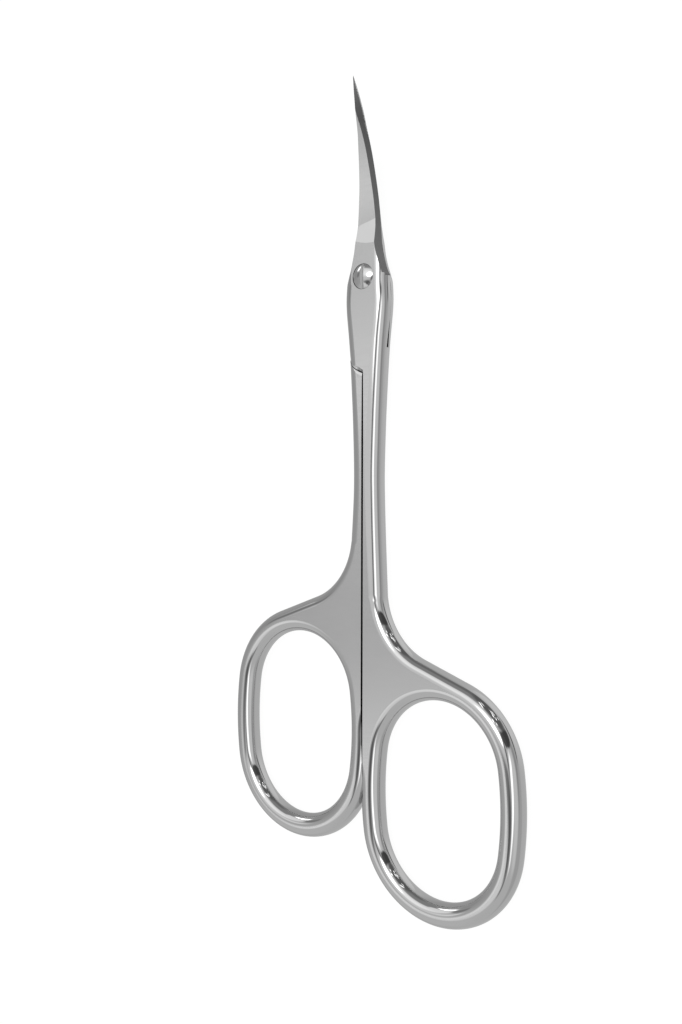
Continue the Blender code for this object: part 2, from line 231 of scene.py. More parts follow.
def oval(grow):
    """(end radius, side radius, side offset, end angle) of the hole's oval, grown by this."""
    bulge = HOLE_HALF_WIDTH - HOLE_END_RADIUS
    side_radius = (HOLE_END_OFFSET**2 + bulge**2) / (2 * bulge) + HOLE_END_RADIUS
    side_offset = side_radius - HOLE_HALF_WIDTH
    end_angle = asin(HOLE_END_OFFSET / (side_radius - HOLE_END_RADIUS))
    return HOLE_END_RADIUS + grow, side_radius + grow, side_offset, end_angle


def hole_rows(ring_drop):
    """The finger hole, counter-clockwise: x, y, rounding width, fullness."""
    end_radius, side_radius, side_offset, turn = oval(0)
    middle = -ring_drop
    points = arc((RING_SPREAD, middle + HOLE_END_OFFSET), end_radius, pi - turn, turn)
    points += arc((RING_SPREAD - side_offset, middle), side_radius, turn, -turn)[1:]
    points += arc((RING_SPREAD, middle - HOLE_END_OFFSET), end_radius, -turn, turn - pi)[1:]
    points += arc((RING_SPREAD + side_offset, middle), side_radius, pi + turn, pi - turn)[1:-1]
    return [(x, y, RING_ROUND, ROUND_FULLNESS) for x, y in points[::-1]]


def in_units(units, rows):
    """A table's rows, with each column times its unit."""
    return [tuple(value * unit for value, unit in zip(row, units)) for row in rows]


# The blade's back from the joint up: x of the foot, y, slope's width, fullness
BLADE_BACK = in_units((MM, MM, MM, 1), (
    (-3.50, -0.80, 1.60, 2.0), (-3.19, 0.18, 1.19, 1.8), (-2.91, 1.09, 0.98, 1.5),
    (-2.63, 1.99, 0.80, 1.2), (-2.28, 3.38, 0.77, 1.0), (-2.11, 4.37, 0.76, 1.0),
    (-1.84, 6.00, 0.73, 1.0), (-1.67, 7.40, 0.66, 1.0), (-1.35, 10.27, 0.58, 1.0),
    (-1.06, 13.13, 0.62, 1.0), (-0.76, 16.95, 0.65, 1.0), (-0.56, 19.43, 0.65, 1.0),
    (-0.42, 21.90, 0.60, 1.0), (-0.27, 24.20, 0.55, 1.0), (-0.13, 25.55, 0.50, 1.0),
    (0.00, 26.50, 0.45, 1.0), (0.15, 27.40, 0.40, 1.0), (0.25, 28.00, 0.30, 1.0),
))
# The cutting edge: x of the bevel's foot, y, the bevel's slope
CUTTING_EDGE = in_units((MM, MM, DEGREE), (
    (3.80, -1.60, 84), (3.70, -0.90, 84), (3.63, -0.60, 83), (3.54, -0.20, 83),
    (3.34, 0.18, 80), (3.16, 0.52, 79), (2.95, 1.09, 80), (2.66, 1.99, 83),
    (2.25, 3.38, 84), (2.10, 4.37, 83), (1.97, 6.00, 82), (1.87, 7.40, 80),
    (1.71, 10.27, 77), (1.46, 13.13, 75), (1.12, 16.95, 72), (0.82, 19.43, 67),
    (0.50, 21.90, 56), (0.22, 24.20, 49), (0.08, 25.55, 46), (0.00, 26.50, 45),
    (-0.15, 27.40, 45), (-0.30, 28.20, 45), (-0.45, 29.00, 45),
))
# The right side of the handle from the joint down to the web: x, y, rounding
HANDLE_SIDE = in_units((MM, MM, MM), (
    (3.503, -0.80, 1.51), (3.602, -3.80, 1.56), (3.101, -9.00, 1.64),
    (2.762, -14.00, 1.69), (2.43, -21.00, 1.80), (2.29, -28.50, 1.80),
))
# The blank's right side beside the blade, which the bevel takes off: y, rounding
BLANK_TOP = in_units((MM, MM), ((28.0, 0.1), (14.0, 0.1), (8.0, 1.5)))
# The blade's upper face: y, its height over the mating face as a share of the blade's thickness
FACE_SHARES = ((6.8, 1.0), (16.9, 0.98), (19.4, 0.95), (21.9, 0.88), (24.2, 0.60), (25.5, 0.34),
               (26.4, 0.04), (27.5, -0.3), (28.5, -0.6))
BLADE_FACE = in_units((MM, BLADE_THICKNESS), FACE_SHARES)


def half_rows(ring_drop, web_width):
    """The blank's outline, clockwise from the right of the tip: x, y, rounding, fullness."""
    end_radius, side_radius, side_offset, turn = oval(RING_WIRE)
    middle = -ring_drop
    ring_top = Vector((RING_SPREAD, HOLE_END_OFFSET - ring_drop))
    across = Vector((sin(WEB_SLOPE), cos(WEB_SLOPE)))
    along = Vector((-cos(WEB_SLOPE), sin(WEB_SLOPE)))
    touch = ring_top + across * end_radius
    run = (web_width + WEB_FILLET - touch.x - across.x * WEB_FILLET) / along.x
    fillet = touch + along * run + across * WEB_FILLET
    web = arc(fillet, WEB_FILLET, pi + WEB_START, 1.5 * pi - WEB_SLOPE)
    straight = [tuple(Vector(web[-1]).lerp(touch, step / WEB_STEPS)) for step in range(1, WEB_STEPS)]
    ring = arc(ring_top, end_radius, pi / 2 - WEB_SLOPE, turn)
    ring += arc((RING_SPREAD - side_offset, middle), side_radius, turn, -turn)[1:]
    ring += arc((RING_SPREAD, middle - HOLE_END_OFFSET), end_radius, -turn, turn - pi)[1:]
    ring += arc((RING_SPREAD + side_offset, middle), side_radius, pi + turn, pi)[1:]
    inner = RING_SPREAD + side_offset - side_radius
    ring += arc((inner - INNER_SWEEP, middle), INNER_SWEEP, 0, INNER_SWEEP_TURN)[1:]
    top = [(JOINT_TOP_HALF_WIDTH, y, wide) for y, wide in BLANK_TOP]
    start_of_web = [(x, y, ARM_ROUND) for x, y in web[:3:2]]
    side = faired(top + HANDLE_SIDE + start_of_web)
    rows = [(*row, ROUND_FULLNESS) for row in side if row[1] > web[0][1]]
    rows += [(x, y, RING_ROUND, ROUND_FULLNESS) for x, y in web + straight + ring]
    last = rows[-1]
    turned_up = (last[0], -INNER_SIDE_DROP, ARM_ROUND, ROUND_FULLNESS)
    joint = [(-x, y, wide, ROUND_FULLNESS) for x, y, wide in HANDLE_SIDE[3:0:-1]]
    rows += faired([last, turned_up] + joint + BLADE_BACK)[1:]
    return rows


def inward(rows):
    """For each point of a closed outline, the direction into the metal on its right."""
    directions = []
    for index, row in enumerate(rows):
        before = Vector(rows[index - 1][:2])
        after = Vector(rows[(index + 1) % len(rows)][:2])
        along = (after - before).normalized()
        directions.append(Vector((along.y, -along.x)))
    return directions


def rounded_blank(name, loops):
    """A plate with these loops, whose sides swell from the flat faces to the middle plane."""
    rows = [row for loop in loops for row in loop]
    directions = [direction for loop in loops for direction in inward(loop)]
    layers = []
    for step in range(EDGE_STEPS + 1):
        turn = step / EDGE_STEPS * pi / 2
        layer = []
        for (x, y, wide, full), direction in zip(rows, directions):
            inset = direction * wide * (1 - max(cos(turn), 0) ** (2 / full))
            height = HALF_THICKNESS * sin(turn) ** (2 / full)
            layer.append(Vector((x + inset.x, y + inset.y, height)))
        layers.append(layer)
    lower = [[Vector((point.x, point.y, -point.z)) for point in layer] for layer in layers[:0:-1]]
    return skin(name, [len(loop) for loop in loops], lower + layers)


def bevel_cutter(name):
    """All that lies outside the ground bevel, which leans in from the cutting edge."""
    low = -HALF_THICKNESS - OVERRUN
    high = HALF_THICKNESS + OVERRUN
    far = JOINT_TOP_HALF_WIDTH + OVERRUN + OVERRUN
    layers = []
    for x, y, slope in faired(CUTTING_EDGE):
        lean = 1 / tan(slope)
        layers.append([Vector((x - (low - BEVEL_FOOT) * lean, y, low)),
                       Vector((far, y, low)),
                       Vector((far, y, high)),
                       Vector((x - (high - BEVEL_FOOT) * lean, y, high))])
    return skin(name, [4], layers)


def lerp_rows(rows, place):
    """The value at a place, from rows of place and value."""
    for (low, start), (high, end) in zip(rows, rows[1:]):
        if place <= high:
            return start + (end - start) * (place - low) / (high - low)
    return rows[-1][1]


# The wheel's scoop ahead of the joint: its edge on the joint's face, x and y from the left
SCOOP_EDGE = in_units((MM, MM), (
    (-5.5, 5.6), (-3.0, 5.3), (-1.2, 4.85), (-0.8, 4.74), (-0.4, 4.63), (0.5, 4.45),
    (1.1, 4.40), (1.6, 4.38), (2.4, 4.4), (5.5, 4.5),
))
# A narrow land lies between the scoop and the blade's face. Each rise is a slope across the middle.
SCOOP_END = 6.46 * MM
SCOOP_END_RISE = 0.12
LAND_END = 7.36 * MM
LAND_END_RISE = 0.22
SCOOP_FOOT = 1.15 * MM  # height over the middle plane where the land starts
SCOOP_FOOT_RISE = -0.04
RISES_WITHIN = 2.0 * MM  # of the middle
SCOOP_LEAD = 1.0 * MM
SCOOP_SAG = 0.02 * MM
SCOOP_STEPS = 8
FACE_CUT_HALF_WIDTH = 5.5 * MM
FACE_CUT_REACH = 28.4 * MM
FACE_CUT_END = 29.0 * MM
FACE_STEPS = 60
FACE_COLUMNS = 22  # to each side of the middle


def face_cutter(name):
    """All that lies over the wheel's scoop and the blade's ground upper face."""
    high = HALF_THICKNESS + OVERRUN * 2
    face = faired(BLADE_FACE)
    edge = faired(SCOOP_EDGE)
    land_height = MATING + BLADE_FACE[0][1]
    layers = []
    for column in range(FACE_COLUMNS * 2 + 1):
        x = (column / FACE_COLUMNS - 1) * FACE_CUT_HALF_WIDTH
        start = lerp_rows(edge, x)
        near = min(max(x, -RISES_WITHIN), RISES_WITHIN)
        end = SCOOP_END + SCOOP_END_RISE * near
        land = LAND_END + LAND_END_RISE * near
        foot = SCOOP_FOOT + SCOOP_FOOT_RISE * near
        slope = (HALF_THICKNESS - foot) / (end - start)
        line = [Vector((x, start - SCOOP_LEAD, HALF_THICKNESS + slope * SCOOP_LEAD))]
        for step in range(SCOOP_STEPS + 1):
            share = step / SCOOP_STEPS
            sag = SCOOP_SAG * share * (1 - share) * 4
            line.append(Vector((x, start + (end - start) * share,
                                HALF_THICKNESS + (foot - HALF_THICKNESS) * share - sag)))
        line.append(Vector((x, land, land_height)))
        for step in range(1, FACE_STEPS + 1):
            y = land + (FACE_CUT_REACH - land) * step / FACE_STEPS
            line.append(Vector((x, y, MATING + lerp_rows(face, y))))
        line += [Vector((x, FACE_CUT_END, MATING)), Vector((x, FACE_CUT_END, high)),
                 Vector((x, line[0].y, high))]
        layers.append(line)
    return skin(name, [len(layers[0])], layers)


# The end of a joint plate: x, how far below its drop, gap to the other half's shoulder
LAP_LINE = in_units((MM, MM, MM), (
    (-3.30, 0.00, 0.02), (-2.60, 0.45, 0.03), (-2.00, 1.20, 0.04), (-1.50, 1.62, 0.06),
    (-0.90, 1.92, 0.12), (0.10, 2.32, 0.18),
))
# Bevels on that end and on the other half's shoulder: x, run
PLATE_BEVEL = in_units((MM, MM), (
    (-3.3, 0.10), (-2.4, 0.12), (-1.6, 0.42), (-0.8, 0.52), (0.1, 0.36),
))
SHOULDER_BEVEL = in_units((MM, MM), ((-3.3, 0.14), (-1.9, 0.24), (-1.0, 0.34), (0.1, 0.42)))
PLATE_BEVEL_SLOPE = radians(38)
SHOULDER_BEVEL_SLOPE = radians(14)
WEDGE_PAST_SHARE = 0.3  # how far a bevel's cutter runs on past its upper edge, of its run
WEDGE_OUT_SHARE = 0.5  # and out past the face's end


def lap_points(drop, below):
    """The lap line under a plate that ends at this drop, lower by the gap if it is below."""
    return [(x, -drop - y - gap * below) for x, y, gap in faired(LAP_LINE)]


def seam_cutter(name, lap_drop, swell):
    """What lies across the seam and below the lap. A ring swells past the seam at its foot."""
    tall = HALF_THICKNESS + OVERRUN
    points = [(-PAST_RINGS, -lap_drop)] + lap_points(lap_drop, False)[:-1]
    points += [(SEAM_TOP, -lap_drop - LAP_SLANT), (SEAM, -SEAM_WIDE_DROP)]
    if not swell:
        below = FINGER_RING_DROP + RING_SPREAD * 2
        points += [(SEAM, -below), (-PAST_RINGS, -below)]
    else:
        start = THUMB_RING_DROP + HOLE_END_OFFSET + HOLE_END_RADIUS * SWELL_START_SHARE
        long = HOLE_END_RADIUS * SWELL_LENGTH_SHARE
        deep = RING_WIRE + HOLE_HALF_WIDTH - RING_SPREAD + SEAM
        for step in range(SWELL_STEPS + 1):
            t = step / SWELL_STEPS
            points += [(SEAM - deep * (3 * t**2 - 2 * t**3), -start - long * t)]
        points += [(-PAST_RINGS, -start - long)]
    return prism(name, points, -tall, tall)


def edge_bevel(name, line, runs, slope, side):
    """A wedge that bevels a face's edge. It reaches from the line to this side of it, in y."""
    high = HALF_THICKNESS + OVERRUN
    layers = []
    for x, y in line:
        run = lerp_rows(runs, x) * side
        fall = abs(run) * tan(slope)
        inner = Vector((x, y + run * (1 + WEDGE_PAST_SHARE), HALF_THICKNESS + fall * WEDGE_PAST_SHARE))
        outer = Vector((x, y - run * WEDGE_OUT_SHARE, HALF_THICKNESS - fall * (1 + WEDGE_OUT_SHARE)))
        layers.append([inner, outer, Vector((x, outer.y, high)), Vector((x, inner.y, high))])
    return skin(name, [4], layers)


def cut_lap(piece, other_lap_drop):
    """Cuts away what the other half's plate takes up behind this one, opening at its end."""
    far = PAST_RINGS
    low = -HALF_THICKNESS - OVERRUN
    high = BLADE_REACH + OVERRUN
    lap_end = other_lap_drop + LAP_SLANT
    bottom = FRONT_LAP_DROP + LAP_SLANT + OVERRUN
    upper_end = -LAP_OPENS - LAP_CUT_PAST
    upper = [(far, upper_end), (far, high), (-far, high), (-far, upper_end)]
    over = LAP_CUT_OVER - LAP_OPENS
    lower = [(far, -other_lap_drop), (far, over), (-far, over), (-far, -bottom),
             (-SEAM, -bottom), (-SEAM, -lap_end - LAP_CUT_FOOT)]
    lower += [(-x, y) for x, y in reversed(lap_points(other_lap_drop, True)[:-1])]
    combine(piece, prism(piece.name + "_lap", upper, low, TOUCHING))
    opening = [Vector((x, y, TOUCHING - (y + LAP_OPENS) * LAP_SLOPE)) for x, y in lower]
    under = [Vector((x, y, low)) for x, y in lower]
    combine(piece, skin(piece.name + "_lap_end", [len(lower)], [under, opening]))


def bend(reach):
    """How far the blade rises at this distance from the pivot."""
    past = max(reach - BEND_START, 0.0)
    return BEND_RADIUS - sqrt(BEND_RADIUS**2 - past**2)


def round_tool(name, profile):
    """A turned solid about the pivot axis. The profile is radius and height, from low to high."""
    layers = []
    for radius, z in profile:
        turns = [side / SCREW_SIDES * 2 * pi for side in range(SCREW_SIDES)]
        layers.append([Vector((radius * cos(turn), radius * sin(turn), z)) for turn in turns])
    return skin(name, [SCREW_SIDES], layers)


def screw_hole(name):
    """The countersunk hole, a gap wider than the screw."""
    high = HALF_THICKNESS + OVERRUN
    head = HEAD_RADIUS + SCREW_GAP
    shank = SHANK_RADIUS + SCREW_GAP
    seat = HALF_THICKNESS - SEAT_SINK - SCREW_GAP
    cone = seat - HEAD_RADIUS + SHANK_RADIUS
    return round_tool(name, [(shank, -high), (shank, cone), (head, seat), (head, high)])


# Limits by which faces are sorted. The shares are those of a face's normal.
FLAT_SHARE = 0.99999
UPPER_FACE_SHARE = 0.95
LAP_BEVEL_ALONG_SHARE = 0.15
LAP_BEVEL_UP_SHARE = 0.6
LAP_MARGIN = 1.0 * MM
BEVEL_NEAR = 0.03 * MM
BEVEL_ACROSS_SHARE = 0.5
BEVEL_UP_SHARE = 0.1
SLOT_FLOOR_SHARE = 0.999
SLOT_FLOOR_NEAR = 0.01 * MM


def paint(piece):
    """Sorts the faces into ground flats, polished rounds and the cutting bevel."""
    edge = faired(CUTTING_EDGE)
    foots = [(y, x) for x, y, slope in edge]
    slopes = [(y, slope) for x, y, slope in edge]
    for face in piece.data.polygons:
        place = face.center / ENLARGED
        off = place.x - lerp_rows(foots, place.y)
        off += (place.z - BEVEL_FOOT) / tan(lerp_rows(slopes, place.y))
        across, along, up = face.normal
        at_lap = -BACK_LAP_DROP > place.y > -FRONT_LAP_DROP - LAP_SLANT - LAP_MARGIN
        lap_bevel = at_lap and abs(along) > LAP_BEVEL_ALONG_SHARE and abs(up) > LAP_BEVEL_UP_SHARE
        upper_face = place.y > LAND_END and up > UPPER_FACE_SHARE
        at_bevel = place.y > CUTTING_EDGE[0][1] and abs(off) < BEVEL_NEAR
        if abs(up) > FLAT_SHARE or lap_bevel or upper_face:
            face.material_index = FLAT
        elif at_bevel and across > BEVEL_ACROSS_SHARE and up > BEVEL_UP_SHARE:
            face.material_index = BEVEL
        else:
            face.material_index = ROUNDED


def scissor_half(name, ring_drop, web_width, lap_drop, other_lap_drop, swell):
    """One half before its bend. Only the front one swells past the seam and has the screw's head."""
    blank = rounded_blank(name, [half_rows(ring_drop, web_width), hole_rows(ring_drop)])
    cut_lap(blank, other_lap_drop)
    combine(blank, seam_cutter(name + "_seam", lap_drop, swell))
    line = lap_points(lap_drop, False)
    combine(blank, edge_bevel(name + "_plate_end", line, PLATE_BEVEL, PLATE_BEVEL_SLOPE, 1))
    shoulder = edge_bevel(name + "_shoulder", lap_points(other_lap_drop, True), SHOULDER_BEVEL,
                          SHOULDER_BEVEL_SLOPE, -1)
    shoulder.data.transform(TURNED_OVER)
    combine(blank, shoulder)
    combine(blank, bevel_cutter(name + "_bevel"))
    combine(blank, face_cutter(name + "_face"))
    hole = screw_hole(name + "_hole")
    if not swell:
        hole.data.transform(TURNED_OVER)
    combine(blank, hole)
    paint(blank)
    return blank


def pivot_screw():
    """A plain shank, a countersunk head with a low dome, and a slot with slanted walls, whose floor gets
    painted shade.
    """
    edge = HALF_THICKNESS - HEAD_EDGE
    low = -HALF_THICKNESS + SHANK_SHORT
    profile = [(SHANK_RADIUS * SHANK_TIP_SHARE, low), (SHANK_RADIUS, low + SHANK_CHAMFER),
               (SHANK_RADIUS, edge - HEAD_EDGE - HEAD_RADIUS + SHANK_RADIUS),
               (HEAD_RADIUS, edge - HEAD_EDGE)]
    dome_radius = (HEAD_RADIUS**2 + HEAD_DOME**2) / (2 * HEAD_DOME)
    rim_turn = asin(HEAD_RADIUS / dome_radius)
    for step in range(DOME_STEPS):
        turn = rim_turn * (1 - step / DOME_STEPS)
        rise = dome_radius * (cos(turn) - cos(rim_turn))
        profile.append((dome_radius * sin(turn), edge + rise))
    screw = round_tool("screw", profile)
    reach = HEAD_RADIUS + OVERRUN
    top = edge + HEAD_DOME
    deep = top - SLOT_DEPTH
    flank = (SLOT_WIDTH - SLOT_FLOOR_WIDTH) / 2 / SLOT_DEPTH
    wide = SLOT_FLOOR_WIDTH / 2 + (SLOT_DEPTH + OVERRUN) * flank
    section = [(-SLOT_FLOOR_WIDTH / 2, deep), (SLOT_FLOOR_WIDTH / 2, deep), (wide, top + OVERRUN),
               (-wide, top + OVERRUN)]
    slot = [[Vector((x, y, z)) for x, z in section] for y in (-reach, reach)]
    combine(screw, skin("slot", [len(section)], slot))
    # The slot's floor takes the darker steel: painted shade for the shade in the recess
    for face in screw.data.polygons:
        off = abs(face.center.z / ENLARGED - deep)
        if face.normal.z > SLOT_FLOOR_SHARE and off < SLOT_FLOOR_NEAR:
            face.material_index = SLOT_SHADE
    return screw


def shrink(piece):
    """Brings a piece back to its size after the cuts."""
    piece.data.transform(Matrix.Scale(1 / ENLARGED, 4))


def bend_blade(piece):
    """Raises all of a half that lies ahead of the pivot along the bend."""
    for vertex in piece.data.vertices:
        if vertex.co.y > 0:
            vertex.co.z += bend(vertex.co.xy.length)


def crease(piece):
    """Smooth shading, sharp at the ground edges and where one finish meets another."""
    pick(piece)
    bpy.ops.object.mode_set(mode="EDIT")
    bpy.ops.mesh.select_all(action="SELECT")
    bpy.ops.mesh.remove_doubles(threshold=WELD * ENLARGED)
    bpy.ops.mesh.dissolve_degenerate(threshold=WELD * ENLARGED)
    bpy.ops.object.mode_set(mode="OBJECT")
    bpy.ops.object.shade_smooth_by_angle(angle=SMOOTH_BELOW)
    shape = bmesh.new()
    shape.from_mesh(piece.data)
    for edge in shape.edges:
        kinds = {face.material_index for face in edge.link_faces}
        if len(kinds) > 1:
            edge.smooth = False
    shape.to_mesh(piece.data)
    shape.free()


def finish_piece(piece, body, node, materials):
    """Sets a piece over the rest plane at the pivot and gives it to its body."""
    piece.data.transform(Matrix.Translation(PIVOT))
    for material in materials:
        piece.data.materials.append(material)
    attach(piece, body)
    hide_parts(node)


def new_material(name):
    """(material, its nodes, their links)"""
    material = bpy.data.materials.new(name)
    material.use_nodes = True
    return material, material.node_tree.nodes, material.node_tree.links


# The grain. A stretch is how many times a metre the noise repeats along x, y and z.
SCRATCHES = (400, 4000, 400)
EVEN_GRAIN = (900, 900, 900)
GRAIN_DETAIL = 6
GRAIN_LOW = 0.3
GRAIN_HIGH = 0.7
GRAIN_DEPTH = 0.01 * MM


def grain_group():
    """A mask of fine scratches, which run across the direction that is stretched the most."""
    group = bpy.data.node_groups.new("steel_grain", "ShaderNodeTree")
    for name in ("Coordinates", "Stretch"):
        group.interface.new_socket(name, in_out="INPUT", socket_type="NodeSocketVector")
    group.interface.new_socket("Mask", in_out="OUTPUT", socket_type="NodeSocketFloat")
    nodes, links = group.nodes, group.links
    inside = nodes.new("NodeGroupInput")
    outside = nodes.new("NodeGroupOutput")
    stretched = nodes.new("ShaderNodeVectorMath")
    stretched.operation = "MULTIPLY"
    links.new(inside.outputs["Coordinates"], stretched.inputs[0])
    links.new(inside.outputs["Stretch"], stretched.inputs[1])
    lines = nodes.new("ShaderNodeTexNoise")
    lines.inputs["Scale"].default_value = 1
    lines.inputs["Detail"].default_value = GRAIN_DETAIL
    links.new(stretched.outputs[0], lines.inputs["Vector"])
    links.new(lines.outputs["Fac"], outside.inputs["Mask"])
    return group


def steel(name, colour, stretch, rough_low, rough_high, bump):
    """Bare steel, whose grain varies its roughness and lifts its surface a little."""
    material, nodes, links = new_material(name)
    shader = nodes["Principled BSDF"]
    shader.inputs["Metallic"].default_value = 1
    shader.inputs["Base Color"].default_value = (colour, colour, colour, 1)
    coordinates = nodes.new("ShaderNodeTexCoord")
    grain = nodes.new("ShaderNodeGroup")
    grain.node_tree = bpy.data.node_groups.get("steel_grain") or grain_group()
    grain.inputs["Stretch"].default_value = stretch
    links.new(coordinates.outputs["Object"], grain.inputs["Coordinates"])
    rough = nodes.new("ShaderNodeMapRange")
    rough.inputs["From Min"].default_value = GRAIN_LOW
    rough.inputs["From Max"].default_value = GRAIN_HIGH
    rough.inputs["To Min"].default_value = rough_low
    rough.inputs["To Max"].default_value = rough_high
    links.new(grain.outputs["Mask"], rough.inputs["Value"])
    links.new(rough.outputs["Result"], shader.inputs["Roughness"])
    relief = nodes.new("ShaderNodeBump")
    relief.inputs["Strength"].default_value = bump
    relief.inputs["Distance"].default_value = GRAIN_DEPTH
    links.new(grain.outputs["Mask"], relief.inputs["Height"])
    links.new(relief.outputs["Normal"], shader.inputs["Normal"])
    return material


# The photograph's camera, and where the middle of the screw's head is in the photograph
PHOTO_WIDTH = 682
PHOTO_HEIGHT = 1024
FOCAL_PIXELS = 1100.0
HEAD_X = 362.73
HEAD_Y = 276.3
HEAD_DISTANCE = 148.87 * MM
HEAD_HEIGHT = 1.59 * MM  # over the pivot
AZIMUTH = radians(39.2)
ELEVATION = radians(0.31)
ROLL = radians(0.15)


def studio_camera():
    """Looks at the scissors from their right, as the photograph does."""
    behind = Vector((sin(AZIMUTH) * cos(ELEVATION), sin(ELEVATION), cos(AZIMUTH) * cos(ELEVATION)))
    right = Vector((cos(AZIMUTH), 0, -sin(AZIMUTH)))
    up = behind.cross(right)
    turned_right = cos(ROLL) * right + sin(ROLL) * up
    turned_up = cos(ROLL) * up - sin(ROLL) * right
    x = (HEAD_X - PHOTO_WIDTH / 2) / FOCAL_PIXELS * HEAD_DISTANCE
    y = (PHOTO_HEIGHT / 2 - HEAD_Y) / FOCAL_PIXELS * HEAD_DISTANCE
    head = Vector((0, 0, HEAD_HEIGHT))
    place = head - (turned_right * x + turned_up * y - behind * HEAD_DISTANCE)
    data = bpy.data.cameras.new("camera")
    data.lens = FOCAL_PIXELS * data.sensor_width / PHOTO_HEIGHT
    data.clip_start = MM
    camera = bpy.data.objects.new("camera", data)
    camera.matrix_world = Matrix((turned_right, turned_up, behind)).transposed().to_4x4()
    camera.matrix_world.translation = place + PIVOT
    bpy.context.scene.collection.objects.link(camera)
    bpy.context.scene.camera = camera


# The studio that the steel mirrors, as cards of light and shade, later ones in front. Angles are
# in degrees: round the scissors' long axis from straight above to the right, then up towards the
# tips. A card has: angle, height, half width, half height, turn, softness share, tone it gives.
FULL_TONE = 255
STUDIO_TONE = 166
STUDIO_CARDS = (
    (-95, 20, 55, 75, 0, 0.4, 143), (-60, -45, 40, 26, 0, 0.5, 170), (150, 40, 45, 35, 0, 0.5, 186),
    (84, -25, 22, 60, 0, 0.4, 150), (-25, 62, 60, 22, 0, 0.4, 120), (-15, 78, 60, 12, 0, 0.4, 98),
    (50, -8, 18, 26, 0, 0.4, 184), (78, 8, 8, 22, 0, 0.5, 131), (109, 29, 24, 6, 63, 0.25, 92),
    (55, 60, 48, 28, 0, 0.25, 84), (-20, 28, 38, 12, 0, 0.3, 208), (-14, 4, 28, 9, 0, 0.35, 188),
    (-36, -19, 12, 8, 0, 0.5, 207), (-20, -24, 14, 8, 0, 0.5, 196), (-43, 0, 5, 4, 0, 0.5, 156),
    (-39, 6, 7, 4, 0, 0.5, 202), (-39, 14, 7, 4, 0, 0.4, 174), (-44, 36, 9, 9, 0, 0.3, 206),
    (60, 28, 34, 8, 15, 0.2, 58), (36, 21, 13, 7, 20, 0.25, 68),
    (-8, 20, 24, 12, 0, 0.45, 226), (3, 15, 14, 10, 0, 0.25, 340),
    (26, -8, 21, 6, 52, 0.55, 275), (16, 3, 16, 3.5, 60, 0.5, 96),
    (-10, -13, 15, 5, 0, 0.4, 112), (-6, -19, 11, 7, 0, 0.4, 80), (-3, -28, 6, 9, 0, 0.5, 112),
    (-57, 17, 7, 8, 0, 0.3, 112), (-63, 36, 11, 5, 60, 0.3, 340), (-78, 16, 14, 12, 0, 0.5, 134),
    (15, 50, 8, 2, 70, 0.3, 300), (23, 33, 5, 1.5, 40, 0.3, 300), (36, 36, 3, 1.5, 30, 0.3, 300),
    (47, 49, 4, 1.5, 0, 0.3, 300), (55, 55, 5, 2, 60, 0.3, 320), (60, 49, 4, 1.5, 20, 0.3, 300),
    (70, 57, 3, 3, 0, 0.3, 300), (86, 52, 3, 2, 0, 0.3, 260), (30, 60, 4, 3, 0, 0.3, 240),
)


def card_group():
    """The mask of one card: its ellipse, turned and with a soft rim."""
    group = bpy.data.node_groups.new("studio_card", "ShaderNodeTree")
    sockets = (("Angles", "NodeSocketVector"), ("Centre", "NodeSocketVector"),
               ("Half Size", "NodeSocketVector"), ("Turn", "NodeSocketFloat"),
               ("Softness", "NodeSocketFloat"))
    for name, kind in sockets:
        group.interface.new_socket(name, in_out="INPUT", socket_type=kind)
    group.interface.new_socket("Mask", in_out="OUTPUT", socket_type="NodeSocketFloat")
    nodes, links = group.nodes, group.links
    inside = nodes.new("NodeGroupInput")
    outside = nodes.new("NodeGroupOutput")
    away = nodes.new("ShaderNodeVectorMath")
    away.operation = "SUBTRACT"
    turned = nodes.new("ShaderNodeVectorRotate")
    turned.rotation_type = "Z_AXIS"
    share = nodes.new("ShaderNodeVectorMath")
    share.operation = "DIVIDE"
    length = nodes.new("ShaderNodeVectorMath")
    length.operation = "LENGTH"
    rim = nodes.new("ShaderNodeMath")
    rim.operation = "SUBTRACT"
    rim.inputs[0].default_value = 1
    outer = nodes.new("ShaderNodeMath")
    outer.inputs[0].default_value = 1
    fade = nodes.new("ShaderNodeMapRange")
    fade.interpolation_type = "SMOOTHSTEP"
    fade.inputs["To Min"].default_value = 1
    fade.inputs["To Max"].default_value = 0
    links.new(inside.outputs["Angles"], away.inputs[0])
    links.new(inside.outputs["Centre"], away.inputs[1])
    links.new(away.outputs[0], turned.inputs["Vector"])
    links.new(inside.outputs["Turn"], turned.inputs["Angle"])
    links.new(turned.outputs[0], share.inputs[0])
    links.new(inside.outputs["Half Size"], share.inputs[1])
    links.new(share.outputs[0], length.inputs[0])
    links.new(inside.outputs["Softness"], rim.inputs[1])
    links.new(inside.outputs["Softness"], outer.inputs[1])
    links.new(length.outputs["Value"], fade.inputs["Value"])
    links.new(rim.outputs[0], fade.inputs["From Min"])
    links.new(outer.outputs[0], fade.inputs["From Max"])
    links.new(fade.outputs["Result"], outside.inputs["Mask"])
    return group


def light_for(tone):
    """The light that steel shows as this tone, by the curve of sRGB. White is the full tone."""
    share = tone / FULL_TONE
    return ((share + 0.055) / 1.055) ** 2.4 / STEEL_COLOUR


